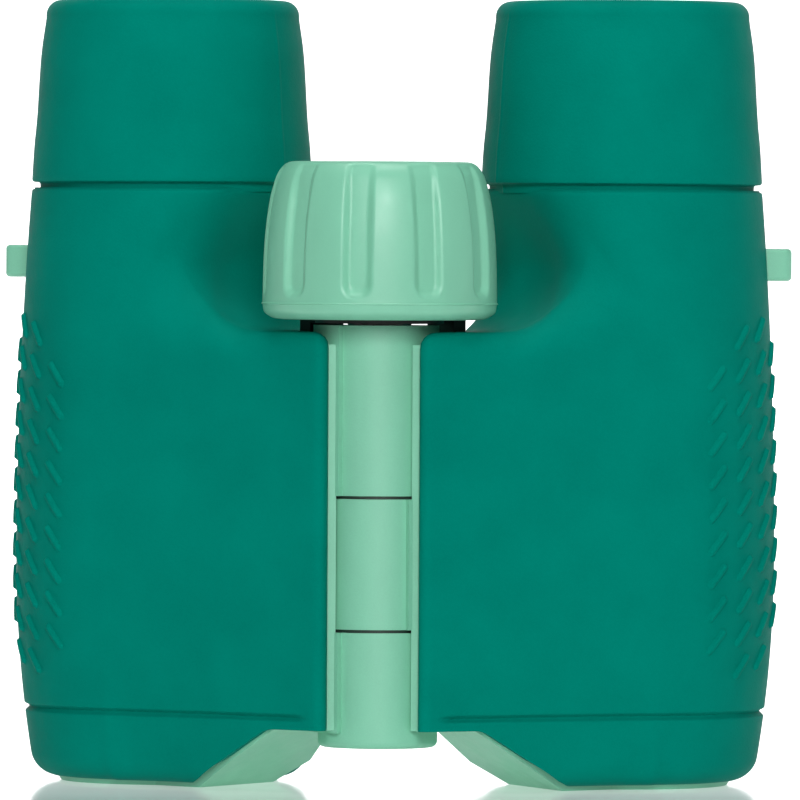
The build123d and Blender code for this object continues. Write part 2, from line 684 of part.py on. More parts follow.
def focus_wheel():
    """Grooved, crowned focus wheel, hollow underneath, with a boss that carries the drive thread."""
    with BuildPart() as wheel:
        with BuildSketch(hinge_section()):
            with BuildLine():
                lower = (WHEEL_R - 2.8, WHEEL_BOTTOM_Z)
                waist = (WHEEL_R - 0.1, WHEEL_BOTTOM_Z + 2.0)
                shoulder = (WHEEL_R - 1.5, WHEEL_TOP_Z - 2.9)
                top = (WHEEL_R - 4.1, WHEEL_TOP_Z)
                ThreePointArc(waist, (WHEEL_R - 1.1, WHEEL_BOTTOM_Z + 0.55), lower)
                ThreePointArc(waist, (WHEEL_R - 0.35, WHEEL_BOTTOM_Z + 9.5), shoulder)
                ThreePointArc(shoulder, (WHEEL_R - 2.3, WHEEL_TOP_Z - 0.9), top)
                Polyline(
                    top, (CAP_R + 0.03, WHEEL_TOP_Z), (CAP_R + 0.03, CAP_FLOOR_Z), (5.2, CAP_FLOOR_Z),
                    (5.2, BOSS_TOP_Z), (BUSH_R, BOSS_TOP_Z), (BUSH_R, BOSS_BOTTOM_Z),
                    (BOSS_R, BOSS_BOTTOM_Z), (BOSS_R, HOLLOW_TOP_Z), (HOLLOW_R, HOLLOW_TOP_Z),
                    (HOLLOW_R, WHEEL_BOTTOM_Z), lower,
                )
            make_face()
        revolve(axis=HINGE_AXIS)
        with BuildSketch(hinge_plane(GROOVE_Z[0])):
            with PolarLocations(
                WHEEL_R - GROOVE_DEPTH + 1.5, WHEEL_GROOVES, start_angle=WHEEL_GROOVE_PHASE - 90
            ):
                RectangleRounded(3.0, GROOVE_WIDTH, 0.6)
        extrude(amount=GROOVE_Z[1] - GROOVE_Z[0], taper=5.0, mode=Mode.SUBTRACT)
    return wheel.part


def bridge_hub():
    """Black hub that climbs the wheel's threaded boss and lifts both focus arms."""
    low, high = HUB_Z
    with BuildPart() as hub:
        with BuildSketch(hinge_plane(low)):
            Circle(HUB_R)
        extrude(amount=high - low)
        with BuildSketch(hinge_plane(EYE_Z["right"] + EYE_THICK + 0.1)):
            Circle(HUB_R + 0.9)
        extrude(amount=high - EYE_Z["right"] - EYE_THICK - 0.1)
        with BuildSketch(hinge_plane(low)):
            Circle(BOSS_R + FIT)
        extrude(amount=high - low, mode=Mode.SUBTRACT)
    return hub.part


finish(focus_wheel(), "focus_wheel")
finish(ring(hinge_plane(BOSS_BOTTOM_Z), BUSH_R, PIN_R + FIT, BOSS_TOP_Z - BOSS_BOTTOM_Z), "wheel_bush")
finish(ring(hinge_plane(PIN_Z[1]), 4.2, SCREW_R + 0.1, 0.4), "wheel_washer")
finish(cross_screw(PIN_Z[1] + 1.4, 2.8, 1.0, 6.0, False), "wheel_screw")
with BuildPart() as wheel_cap:
    with BuildSketch(hinge_plane(CAP_FLOOR_Z)):
        Circle(CAP_R)
    extrude(amount=WHEEL_TOP_Z - CAP_FLOOR_Z)
    chamfer(wheel_cap.edges().group_by(Axis.Z)[-1], length=0.25)
finish(wheel_cap.part, "wheel_cap")
finish(bridge_hub(), "bridge_hub")
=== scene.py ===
"""Looks of a pair of compact binoculars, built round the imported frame.

Shapes are worked out in millimetres, in the frame's own axes, and MM turns them to metres.  In the
formulas of a barrel, u is the distance out from the middle, v the distance behind the barrel axes
and theta the angle round a barrel from the front (-Y) toward its outer side.
"""

import bpy
import numpy as np
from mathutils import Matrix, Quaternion, Vector


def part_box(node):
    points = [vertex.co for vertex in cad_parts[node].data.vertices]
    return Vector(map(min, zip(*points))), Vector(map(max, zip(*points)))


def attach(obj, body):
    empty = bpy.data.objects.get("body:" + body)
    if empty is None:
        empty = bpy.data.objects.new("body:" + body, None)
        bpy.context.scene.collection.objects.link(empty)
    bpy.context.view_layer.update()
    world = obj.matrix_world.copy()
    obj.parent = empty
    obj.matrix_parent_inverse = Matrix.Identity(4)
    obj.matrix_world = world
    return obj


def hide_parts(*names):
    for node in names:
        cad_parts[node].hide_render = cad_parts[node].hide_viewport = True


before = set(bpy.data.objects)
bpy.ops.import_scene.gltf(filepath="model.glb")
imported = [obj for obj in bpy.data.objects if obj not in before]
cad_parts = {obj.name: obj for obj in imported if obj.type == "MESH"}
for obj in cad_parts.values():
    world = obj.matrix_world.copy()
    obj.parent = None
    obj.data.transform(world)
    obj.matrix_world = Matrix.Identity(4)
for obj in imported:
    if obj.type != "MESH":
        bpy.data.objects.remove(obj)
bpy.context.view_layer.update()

MM = 0.001
SIDES = {"left": -1, "right": 1}


def middle(node):
    """Centre of a CAD node's box, in millimetres."""
    low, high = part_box(node)
    return (np.array(low) + np.array(high)) / 2 / MM


def heights(node):
    """Lowest and highest point of a CAD node, in millimetres."""
    low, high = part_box(node)
    return low[2] / MM, high[2] / MM


# ---- places taken from the frame ----------------------------------------------------------------
BARREL_U = abs(middle("right_eyecup")[0])
BARREL_Y = middle("right_eyecup")[1]
HINGE_Y = middle("hinge_pin")[1]
HINGE_DROP = BARREL_Y - HINGE_Y
GROOVE_DROP = 0.5              # the groove under each eyecup is moulded this much into the armour
SKIN_BOTTOM, SKIN_TOP = np.array(heights("right_armour")) - (0, GROOVE_DROP)
CUP_BOTTOM, CUP_TOP = np.array(heights("right_eyecup")) - (GROOVE_DROP, 0)
WHEEL_BOTTOM, WHEEL_TOP = heights("focus_wheel")
SHELL_TOP = heights("left_shell")[1]


# ---- mesh helpers -------------------------------------------------------------------------------
def new_object(name, points, faces, material, body, smooth=True):
    """Mesh object from millimetre points, riding on a body."""
    mesh = bpy.data.meshes.new(name)
    mesh.from_pydata([tuple(p) for p in np.asarray(points) * MM], [], faces)
    mesh.validate()
    for polygon in mesh.polygons:
        polygon.use_smooth = smooth
    mesh.materials.append(material)
    obj = bpy.data.objects.new(name, mesh)
    bpy.context.scene.collection.objects.link(obj)
    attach(obj, body)
    return obj


def grid_faces(rows, columns, wrap, flip, first=0):
    """Quads of a grid of points stored row by row; wrap joins the last column to the first."""
    faces = []
    for i in range(rows - 1):
        for j in range(columns if wrap else columns - 1):
            k = (j + 1) % columns
            quad = (i * columns + j, i * columns + k, (i + 1) * columns + k, (i + 1) * columns + j)
            quad = tuple(first + q for q in quad)
            faces.append(quad[::-1] if flip else quad)
    return faces


def thicken(obj, thickness):
    """Give an open skin its thickness, inward."""
    solid = obj.modifiers.new("thickness", "SOLIDIFY")
    solid.thickness = thickness * MM
    solid.offset = -1
    solid.use_even_offset = False


def sharpen(obj, degrees):
    """Keep edges sharper than this angle sharp in the shading."""
    edges = obj.modifiers.new("edges", "EDGE_SPLIT")
    edges.split_angle = np.radians(degrees)
    edges.use_edge_sharp = False


def smoothstep(low, high, x):
    """0 at low and before it, 1 at high and beyond, smooth between."""
    t = np.clip((x - low) / (high - low), 0, 1)
    return t * t * (3 - 2 * t)


def rounded_max(a, b, r):
    """Signed distance to where both regions overlap, with the edge between them rounded to r."""
    return np.minimum(np.maximum(a, b), -r) + np.hypot(np.maximum(a + r, 0), np.maximum(b + r, 0))


def rounded_min(a, b, r):
    """Signed distance to two regions together, with a fillet of radius r between them."""
    return -rounded_max(-a, -b, r)


# ---- outer form of a barrel's rubber armour -----------------------------------------------------
CORNER_R, WAIST_R, HEAD_R = 17.5, 19.7, 17.9
CORNER_Z, WAIST_Z = 2.5, 28.6
RIM_ROUNDING_Z, RIM_UNDERCUT = 3.5, 2.95       # the lower corner's rounding, upward and inward
WEB_TOP, WEB_BOTTOM = 57.7, 7.9
WEB_FRONT = (8.6, -31.15)                      # (u, v) of the web's front beside the ridge
WEB_BACK = ((5.9, -16.2), (-0.933, 0.358))     # a point of the web's back and its outward normal
WEB_BACK_R, WEB_INNER_V = 1.2, -6.0            # its rounded edge, and how far in it runs
WEB_HEAD, WEB_ROLL = 62.0, 4.0                 # where the web ends above the scoop's floor
WEB_HEAD_SLOPE = (0.8, 0.6)                    # upward and forward parts of that end's slant
TANGENT = np.radians(22)                       # where the web's front leaves the barrel
OUTSIDE = 50.0                                 # a distance that is surely outside
RIDGE_U, RIDGE_R = 5.75, 1.9
CHANNEL_R = 8.3                                # round the hinge axis, where the rubber stops
BACK_FILLET, HEAD_FILLET, LEAST_FILLET = 3.0, 4.0, 0.01      # between web and barrel
SCOOP_R, SCOOP_COVE = 24.0, 9.0
ROOF_Z, ROOF_FALL, ROOF_R = 70.4, (5, 6), 4.0  # where the scoop's roof starts, its slant, its cove
ROLLS = ((2.0, 0, 1), (2.6, 11, 18), (3.4, 20, 28))   # scoop's edge: radius added between two reaches
BEVEL_POINT, BEVEL_NORMAL = (12.3, -28.0, 8.2), (-0.446, -0.24, -0.862)
BEVEL_LIFT = 0.35
GROOVE_Z, GROOVE_WIDTH, GROOVE_DEPTH = 9.4, 1.0, 0.6
GROOVE_FADE = (2.2, 4.5)                       # where it starts, out from the ridge
TOP_ROUNDING = 0.35
SKIN_THICK, CREASE = 1.3, 50


def barrel_radius(z):
    """Radius of the armour round the barrel axis: two arcs that meet upright at the waist."""
    def arc(fall, run, dz):
        rho = (run ** 2 + fall ** 2) / (2 * fall)
        return WAIST_R - rho + np.sqrt(np.maximum(rho ** 2 - dz ** 2, 0))
    upper = arc(WAIST_R - HEAD_R, SKIN_TOP - WAIST_Z, z - WAIST_Z)
    lower = arc(WAIST_R - CORNER_R, WAIST_Z - CORNER_Z, z - WAIST_Z)
    low = np.clip((RIM_ROUNDING_Z - z) / (RIM_ROUNDING_Z - SKIN_BOTTOM), 0, 1)
    corner = (1 - np.sqrt(1 - low ** 2)) * RIM_UNDERCUT
    return np.where(z > WAIST_Z, upper, lower) - corner


def armour_distance(u, v, z):
    """Signed distance, roughly, to the armour's outside: below zero inside."""
    r = barrel_radius(z)
    barrel = np.hypot(u - BARREL_U, v) - r
    # Web: front, ridge beside the channel, back, top, and the channel round the hinge.
    tangent_u = BARREL_U + r * np.sin(TANGENT)
    tangent_v = -r * np.cos(TANGENT)
    s = np.maximum(tangent_u - u, 0)
    front_u, ridge_v = WEB_FRONT
    run = tangent_u - front_u
    bow = (tangent_v - ridge_v - run * np.tan(TANGENT)) / run ** 2
    front_v = tangent_v - s * np.tan(TANGENT) - bow * s ** 2
    front = (front_v - v) * np.cos(TANGENT * 1.15) + OUTSIDE * (u > tangent_u)
    (back_u, back_v), (nu, nv) = WEB_BACK
    back = (u - back_u) * nu + (v - back_v) * nv
    from_hinge = np.hypot(u, v + HINGE_DROP)
    upward, forward = WEB_HEAD_SLOPE
    head = (z - WEB_HEAD) * upward + np.maximum(front, -WEB_ROLL) * forward
    web = rounded_max(front, RIDGE_U - u, RIDGE_R)
    web = rounded_max(web, back, WEB_BACK_R)
    web = np.maximum(web, v - WEB_INNER_V)
    web = rounded_max(web, head, WEB_ROLL)
    web = np.maximum(web, CHANNEL_R - from_hinge)
    fillet = HEAD_FILLET * smoothstep(0, 12, s) * smoothstep(WEB_TOP - 6, WEB_TOP + 2, z)
    fillet = fillet + BACK_FILLET * smoothstep(-20, -12, v) + LEAST_FILLET
    body = rounded_min(barrel, web, fillet)
    # Finger scoop, turned about the hinge axis.
    hollow = rounded_max(from_hinge - SCOOP_R, WEB_TOP - z, SCOOP_COVE)
    out, up = ROOF_FALL
    roof = ((from_hinge - SCOOP_R) * out + (z - ROOF_Z) * up) / np.hypot(out, up)
    hollow = rounded_max(hollow, roof, ROOF_R)
    roll = sum(radius * smoothstep(start, end, from_hinge) for radius, start, end in ROLLS)
    return rounded_max(body, -hollow, roll)


REACH = (8, 42)                # radii between which the armour's outside lies


def armour_surface(theta, base, slope):
    """Outermost radius of the armour along rays from the barrel axis that start at height base."""
    def distance(r):
        u = BARREL_U + r * np.sin(theta)
        return armour_distance(u, -r * np.cos(theta), base + slope * r)
    steps = np.linspace(*REACH, 140)
    low = np.full(theta.shape, steps[0])
    found = np.zeros(theta.shape, bool)
    for step in steps[1:]:
        outside = distance(np.full(theta.shape, step)) > 0
        low = np.where(found | outside, low, step)
        found |= outside
    high = low + (steps[1] - steps[0])
    for _ in range(22):
        mid = (low + high) / 2
        outside = distance(mid) > 0
        high = np.where(outside, mid, high)
        low = np.where(outside, low, mid)
    return (low + high) / 2


# Rows of the armour's grid: (height on the axis, slope of the ray), so that no face is met edge on.
ROW_STOPS = ((0.0, 0.0), (11.0, 0.0), (38.0, 0.50), (47.0, 0.50), (55.0, 0.42), (64.0, 0.26), (70.0, 0.12),
             (76.0, 0.0))
# Columns: (from, to, step) in degrees, closest where the web ends, far from the barrel axis.
COLUMN_STOPS = (
    (-180.0, -76.0, 2.5), (-76.0, -41.0, 1.0), (-41.0, -29.0, 0.3), (-29.0, 0.0, 1.0), (0.0, 180.0, 2.5),
)


def column_angles():
    """Angles of the grid's columns round a barrel."""
    parts = [np.arange(a, b - 1e-6, (b - a) / round((b - a) / step)) for a, b, step in COLUMN_STOPS]
    return np.radians(np.concatenate(parts))


def armour_grid():
    """Points (u, v, z) of the armour's outside, rows from the lower edge to the upper."""
    theta = column_angles()
    bases, slopes = np.array(ROW_STOPS).T

    def slope_at(base):
        return np.interp(base, bases, slopes)

    def edge_error(base):
        """Height of a surface point above the armour's lower edge."""
        r = armour_surface(theta, base, slope_at(base))
        u, v = BARREL_U + r * np.sin(theta), -r * np.cos(theta)
        z = base + slope_at(base) * r
        (pu, pv, pz), (nu, nv, nz) = BEVEL_POINT, BEVEL_NORMAL
        bevel = pz - (nu * (u - pu) + nv * (v - pv) + BEVEL_LIFT) / nz
        return z - np.clip(bevel, SKIN_BOTTOM, WEB_BOTTOM)

    low, high = np.full(theta.shape, SKIN_BOTTOM), np.full(theta.shape, 20.0)
    for _ in range(18):
        mid = (low + high) / 2
        above = edge_error(mid) > 0
        high, low = np.where(above, mid, high), np.where(above, low, mid)
    start = high[None, :]
    floor, roof = GROOVE_Z - GROOVE_WIDTH, GROOVE_Z + GROOVE_WIDTH
    share = (np.linspace(0, 1, 22)[:-1, None]) ** 1.5
    lower = start + (floor - start) * share
    groove = np.linspace(floor, roof, 15)
    lip = SKIN_TOP - np.array([0.6, 0.4, 0.25, 0.12, 0.05, 0])
    upper = [np.arange(roof + 0.5, 34, 1.0), np.arange(34, 58, 0.5), np.arange(58, SKIN_TOP - 0.9, 0.7), lip]
    level = np.concatenate([groove, *upper])[:, None] + np.zeros(theta.shape)
    base = np.concatenate([lower, level])
    theta = np.broadcast_to(theta, base.shape)
    r = armour_surface(theta, base, slope_at(base))
    return np.stack([BARREL_U + r * np.sin(theta), -r * np.cos(theta), base + slope_at(base) * r], -1)


def outer_normals(grid):
    """Unit normals of a ring-shaped grid of points, pointing away from the barrel's inside."""
    along = np.roll(grid, -1, 1) - np.roll(grid, 1, 1)
    up = np.gradient(grid, axis=0)
    normal = np.cross(along, up)
    return normal / np.maximum(np.linalg.norm(normal, axis=-1, keepdims=True), 1e-9)


def grooved(grid):
    """The armour's outside with its rounded upper edge and the groove near its foot."""
    u, v, z = np.moveaxis(grid, -1, 0)
    across = (z - GROOVE_Z) / (GROOVE_WIDTH / 2)
    profile = smoothstep(1.15, 0.0, np.abs(across))
    shown = smoothstep(*(RIDGE_U + fade for fade in GROOVE_FADE), u)
    lip = np.clip((z - SKIN_TOP + TOP_ROUNDING) / TOP_ROUNDING, 0, 1)
    sink = GROOVE_DEPTH * profile * shown + TOP_ROUNDING * (1 - np.sqrt(1 - lip ** 2))
    return grid - outer_normals(grid) * sink[..., None]


def side_points(side, u, v, z):
    """Frame points in millimetres from a barrel's own u, v and height."""
    return np.stack([SIDES[side] * u, BARREL_Y + v, z + 0 * u], -1)


def make_armour(side, material):
    """Rubber armour of one barrel, as a skin with its real thickness."""
    surface = grooved(ARMOUR)
    rows, columns = surface.shape[:2]
    points = side_points(side, *np.moveaxis(surface, -1, 0)).reshape(-1, 3)
    faces = grid_faces(rows, columns, wrap=True, flip=side == "left")
    armour = new_object(side + "_armour_rubber", points, faces, material, side + "_barrel")
    thicken(armour, SKIN_THICK)
    sharpen(armour, CREASE)
    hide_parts(side + "_armour")


# ---- grip ribs on the outer side of each barrel --------------------------------------------------
# Columns of bars: (degrees from the front, height of the first bar's top, number of bars).
RIB_COLUMNS = ((42.8, 53.4, 9), (57.3, 58.5, 11), (71.6, 59.5, 11), (86.0, 56.4, 9))
RIB_PITCH, RIB_LENGTH, RIB_WIDTH, RIB_HEIGHT = 4.15, 4.0, 0.78, 0.5
RIB_SLANT = np.radians(43)
RIB_SKIRT, RIB_SINK, RIB_EDGE = 0.35, 0.05, 0.22


def make_ribs(side, material):
    """Slanted bars moulded on the armour, joined in one piece; their soft feet sink in it."""
    along = np.linspace(-1, 1, 25) * (RIB_LENGTH / 2 + RIB_SKIRT)
    across = np.linspace(-1, 1, 13) * (RIB_WIDTH / 2 + RIB_SKIRT)
    a, b = np.meshgrid(along, across, indexing="ij")
    away = np.hypot(np.maximum(np.abs(a) - (RIB_LENGTH - RIB_WIDTH) / 2, 0), b)
    lift = RIB_HEIGHT * smoothstep(RIB_WIDTH / 2 + RIB_EDGE, RIB_WIDTH / 2 - RIB_EDGE, away) - RIB_SINK
    rise = (a - RIB_LENGTH / 2) * np.cos(RIB_SLANT) - b * np.sin(RIB_SLANT)
    turn = (a * np.sin(RIB_SLANT) + b * np.cos(RIB_SLANT)) / WAIST_R
    points, faces = [], []
    for angle, top, count in RIB_COLUMNS:
        for k in range(count):
            z, theta = top - RIB_PITCH * k + rise, np.radians(angle) + turn
            r = armour_surface(theta, z, 0.0) + lift
            faces += grid_faces(*a.shape, wrap=False, flip=side == "left", first=len(points) * a.size)
            patch = side_points(side, BARREL_U + r * np.sin(theta), -r * np.cos(theta), z)
            points.append(patch.reshape(-1, 3))
    body, points = side + "_barrel", np.concatenate(points)
    ribs = new_object(side + "_grip_ribs", points, faces, material, body)
    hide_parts(side + "_armour")


# ---- turned pieces -------------------------------------------------------------------------------
def smooth_curve(stops, step):
    """Points along a smooth curve through stops (r, z), about step millimetres apart."""
    stops = np.array(stops, float)
    ends = np.concatenate([[2 * stops[0] - stops[1]], stops, [2 * stops[-1] - stops[-2]]])
    out = []
    for p0, p1, p2, p3 in zip(ends, ends[1:], ends[2:], ends[3:]):
        count = max(int(np.ceil(np.linalg.norm(p2 - p1) / step)), 1)
        t = np.linspace(0, 1, count, endpoint=False)[:, None]
        out.append(0.5 * (2 * p1 + (p2 - p0) * t + (2 * p0 - 5 * p1 + 4 * p2 - p3) * t ** 2
                          + (3 * p1 - p0 - 3 * p2 + p3) * t ** 3))
    return np.concatenate(out + [stops[-1:]])


def arc_points(centre, radius, start, end, count):
    """Points (r, z) of an arc, angles in degrees."""
    angle = np.radians(np.linspace(start, end, count))
    return np.stack([centre[0] + radius * np.cos(angle), centre[1] + radius * np.sin(angle)], -1)


def turned(name, profile, theta, radius_change, centre, material, body):
    """Closed profile (r, z) swept round a vertical axis; radius_change(r, z, theta) adds detail."""
    profile = np.asarray(profile)
    r, t = np.meshgrid(profile[:, 0], theta, indexing="ij")
    z = profile[:, 1][:, None] + 0 * t
    r = r + radius_change(r, z, t)
    points = np.stack([centre[0] + r * np.sin(t), centre[1] - r * np.cos(t), z], -1)
    rows, columns = r.shape
    loop = np.concatenate([points, points[:1]])
    faces = [tuple(q % (rows * columns) for q in face)
             for face in grid_faces(len(loop), columns, wrap=True, flip=False)]
    obj = new_object(name, points.reshape(-1, 3), faces, material, body)
    sharpen(obj, 38)
    return obj


# Outer sides of the turned pieces, as (r, z).
CUP_SIDE = ((17.88, CUP_BOTTOM + 0.4), (17.62, 81.0), (17.27, 84.8), (16.8, 92.4), (16.15, 97.3))
CUP_BORE_R, CUP_LIP_R, CUP_LIP = 12.75, 14.25, (1.9, 1.3)    # bore, middle of the lip, its two radii
CUP_SEAM, SEAM_LIFT = 59.0, 0.07               # degrees from the front, on the inner side


def make_eyecup(side, material):
    """Rubber eyecup: tapered, with a full lip and the moulding line down its inner side."""
    outward, inward = CUP_LIP
    outer = smooth_curve(CUP_SIDE, 0.8)
    lip = arc_points((CUP_LIP_R, CUP_TOP - outward), outward, -2, 90, 12)
    inside = arc_points((CUP_BORE_R + inward, CUP_TOP - inward), inward, 95, 180, 8)
    throat = ((CUP_BORE_R, 95.0), (13.62, 94.05), (13.62, 91.5), (15.42, 78.6), (15.42, SHELL_TOP + 0.03))
    foot = ((16.45, SHELL_TOP + 0.03), (16.45, SKIN_TOP - 0.3), (16.8, SKIN_TOP - 0.3),
            (16.85, CUP_BOTTOM - 0.15), (17.0, CUP_BOTTOM + 0.02), (17.6, CUP_BOTTOM + 0.06),
            (17.83, CUP_BOTTOM + 0.2))
    profile = np.concatenate([outer, lip, inside, throat, foot])
    seam = -SIDES[side] * np.radians(CUP_SEAM)
    theta = np.union1d(np.radians(np.arange(-180, 180, 2.5)), seam + np.radians(np.arange(-2, 2.1, 0.4)))

    def line(r, z, t):
        near = smoothstep(0.42, 0.12, np.abs(t - seam) * r)
        return SEAM_LIFT * near * (r > 15.5) * smoothstep(98.5, 96.5, z)

    name, body, centre = side + "_eyecup_rubber", side + "_barrel", (SIDES[side] * BARREL_U, BARREL_Y)
    cup = turned(name, profile, theta, line, centre, material, body)
    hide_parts(side + "_eyecup")


WHEEL_SIDE = ((14.62, 60.45), (14.7, 61.05), (14.86, 61.2), (14.72, 61.35), (14.68, 64.0), (14.58, 67.5),
              (14.35, 70.7), (13.9, 74.0), (13.4, 76.1), (12.9, 77.5), (12.15, 78.5), (11.4, 78.92))
WHEEL_HOLLOW_R, WHEEL_HOLLOW_TOP = 12.0, 74.5
BOSS_R, BOSS_LOW, BOSS_TOP, BUSH_R = 4.6, 60.0, 76.0, 3.2
CAP_RECESS_R = 6.23
WHEEL_GROOVES, WHEEL_PHASE = 10, -42.2
WHEEL_GROOVE_WIDTH, WHEEL_GROOVE_DEPTH = 3.2, 0.75
WHEEL_GROOVE_FOOT, WHEEL_GROOVE_R = 63.6, 1.2  # where a groove's rounded foot starts, and its corners
WHEEL_GROOVE_HEAD = (74.0, 77.6)               # between these it gets shallower


def make_wheel(material):
    """Focus wheel with ten moulded finger grooves, hollow underneath."""
    floor_z = heights("wheel_cap")[0]
    foot = ((12.2, WHEEL_BOTTOM), (13.3, WHEEL_BOTTOM + 0.14), (13.95, WHEEL_BOTTOM + 0.45),
            (14.45, WHEEL_BOTTOM + 0.85))
    side = smooth_curve(foot + WHEEL_SIDE + ((10.9, WHEEL_TOP),), 0.35)
    top = ((9.0, WHEEL_TOP), (CAP_RECESS_R + 0.25, WHEEL_TOP), (CAP_RECESS_R + 0.06, WHEEL_TOP - 0.08),
           (CAP_RECESS_R, WHEEL_TOP - 0.25), (CAP_RECESS_R, floor_z))
    inside = ((5.2, floor_z), (5.2, BOSS_TOP), (BUSH_R, BOSS_TOP), (BUSH_R, BOSS_LOW), (BOSS_R, BOSS_LOW),
              (BOSS_R, WHEEL_HOLLOW_TOP), (WHEEL_HOLLOW_R, WHEEL_HOLLOW_TOP), (WHEEL_HOLLOW_R, WHEEL_BOTTOM))
    pitch = 2 * np.pi / WHEEL_GROOVES

    def grooves(r, z, t):
        off = (t - np.radians(WHEEL_PHASE) + pitch / 2) % pitch - pitch / 2
        across = np.abs(off) * r - WHEEL_GROOVE_WIDTH / 2
        below = WHEEL_GROOVE_FOOT - z
        corner = np.hypot(np.maximum(across + WHEEL_GROOVE_R, 0), below) - WHEEL_GROOVE_R
        edge = np.where(below > 0, corner, across)
        window = smoothstep(0.5, -0.55, edge) * (r > 11.5)
        reach = np.interp(z, WHEEL_GROOVE_HEAD, (1.0, 0.55))
        return -WHEEL_GROOVE_DEPTH * window * reach * smoothstep(78.9, 77.9, z)

    theta = np.linspace(-np.pi, np.pi, 480, endpoint=False)
    profile, centre = np.concatenate([side, top, inside]), (0.0, HINGE_Y)
    wheel = turned(
        "focus_wheel_ribbed", profile, theta, grooves, centre, material, "focus_wheel",
    )
    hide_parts("focus_wheel")


# ---- materials -----------------------------------------------------------------------------------
def srgb(*values):
    """Linear colour from the 0 to 255 values of a screen colour."""
    c = np.array(values) / 255
    return tuple(np.where(c <= 0.04045, c / 12.92, ((c + 0.055) / 1.055) ** 2.4)) + (1.0,)


class Graph:
    """Small helper for building one node material in the object's own coordinates."""

    def __init__(self, name):
        self.material = bpy.data.materials.new(name)
        self.material.use_nodes = True
        self.nodes = self.material.node_tree.nodes
        self.links = self.material.node_tree.links
        self.shader = self.nodes["Principled BSDF"]
        self.place = self.nodes.new("ShaderNodeTexCoord").outputs["Object"]

    def add(self, kind, inputs=(), **settings):
        node = self.nodes.new("ShaderNode" + kind)
        for key, value in settings.items():
            setattr(node, key, value)
        for key, value in dict(inputs).items():
            if isinstance(value, bpy.types.NodeSocket):
                self.links.new(value, node.inputs[key])
            else:
                node.inputs[key].default_value = value
        return node

    def noise(self, size, detail=3.0, rough=0.5, stretch=(1, 1, 1)):
        """Noise whose features are about size millimetres."""
        spread = self.add("Mapping", {"Vector": self.place, "Scale": stretch}).outputs["Vector"]
        inputs = {"Vector": spread, "Scale": 1 / (size * MM), "Detail": detail, "Roughness": rough}
        return self.add("TexNoise", inputs).outputs["Fac"]

    def cells(self, size):
        """Rounded cells about size millimetres across, dark at their middles."""
        inputs = {"Vector": self.place, "Scale": 1 / (size * MM), "Smoothness": 0.6}
        return self.add("TexVoronoi", inputs, feature="SMOOTH_F1").outputs["Distance"]

    def remap(self, value, low, high, to_low, to_high):
        inputs = {"Value": value, "From Min": low, "From Max": high, "To Min": to_low, "To Max": to_high}
        return self.add("MapRange", inputs).outputs["Result"]

    def ramp(self, value, *stops):
        node = self.add("ValToRGB", {"Fac": value})
        while len(node.color_ramp.elements) < len(stops):
            node.color_ramp.elements.new(0.5)
        for element, (position, colour) in zip(node.color_ramp.elements, stops):
            element.position = position
            element.color = colour
        return node.outputs["Color"]

    def mix(self, factor, a, b, blend="MIX"):
        node = self.add("Mix", data_type="RGBA", blend_type=blend)
        for socket, value in zip((node.inputs[0], node.inputs[6], node.inputs[7]), (factor, a, b)):
            if isinstance(value, bpy.types.NodeSocket):
                self.links.new(value, socket)
            else:
                socket.default_value = value
        return node.outputs[2]

    def bump(self, height, depth, normal=None):
        """Bump of this depth in millimetres, on top of another if given."""
        inputs = {"Height": height, "Distance": depth * MM, "Strength": 1.0}
        if normal is not None:
            inputs["Normal"] = normal
        return self.add("Bump", inputs).outputs["Normal"]

    def surface(self, **sockets):
        for key, value in sockets.items():
            name = key.replace("_", " ")
            if isinstance(value, bpy.types.NodeSocket):
                self.links.new(value, self.shader.inputs[name])
            else:
                self.shader.inputs[name].default_value = value
        return self.material


def tint(colour, share):
    """The colour made lighter or darker by a share."""
    return tuple(min(c * (1 + share), 1.0) for c in colour[:3]) + (1.0,)


def rubber_material(name, colour):
    """Soft-touch moulded rubber: fine matt grain, faint mottling, a soft broad sheen."""
    g = Graph(name)
    broad, fine, speck = g.noise(9.0), g.noise(0.28, 2.0, 0.6), g.cells(0.32)
    shade = g.ramp(broad, (0.3, tint(colour, -0.06)), (0.7, tint(colour, 0.06)))
    shade = g.mix(g.remap(fine, 0.35, 0.65, 0.0, 0.16), shade, tint(colour, 0.35))
    normal = g.bump(speck, 0.012, g.bump(fine, 0.02))
    rough = g.remap(g.noise(2.2), 0.3, 0.7, 0.5, 0.6)
    sheen = {"Specular_IOR_Level": 0.02, "Specular_Tint": colour}
    return g.surface(Base_Color=shade, Roughness=rough, Normal=normal, **sheen)


def plastic_material(name, colour, rough, grain=0.015, speckle=0.10):
    """Moulded hard plastic: satin spark-eroded grain, faint flow mottling."""
    g = Graph(name)
    broad, fine = g.noise(6.0, stretch=(1, 1, 0.45)), g.noise(0.22, 3.0, 0.65)
    shade = g.ramp(broad, (0.3, tint(colour, -0.045)), (0.7, tint(colour, 0.045)))
    shade = g.mix(g.remap(fine, 0.3, 0.7, 0.0, speckle), shade, tint(colour, 0.5))
    normal = g.bump(fine, grain)
    roughness = g.remap(g.noise(1.6), 0.3, 0.7, rough - 0.05, rough + 0.05)
    return g.surface(Base_Color=shade, Roughness=roughness, Normal=normal, Specular_IOR_Level=0.5)


def metal_material(name, colour, rough):
    """Turned metal: fine rings round the axis and a little tarnish."""
    g = Graph(name)
    rings = g.noise(0.15, 2.0, 0.5, stretch=(0.15, 0.15, 1.0))
    shade = g.ramp(g.noise(2.5), (0.3, tint(colour, -0.15)), (0.7, tint(colour, 0.08)))
    roughness = g.remap(rings, 0.3, 0.7, rough - 0.06, rough + 0.08)
    normal = g.bump(rings, 0.004)
    return g.surface(Base_Color=shade, Roughness=roughness, Normal=normal, Metallic=1.0)


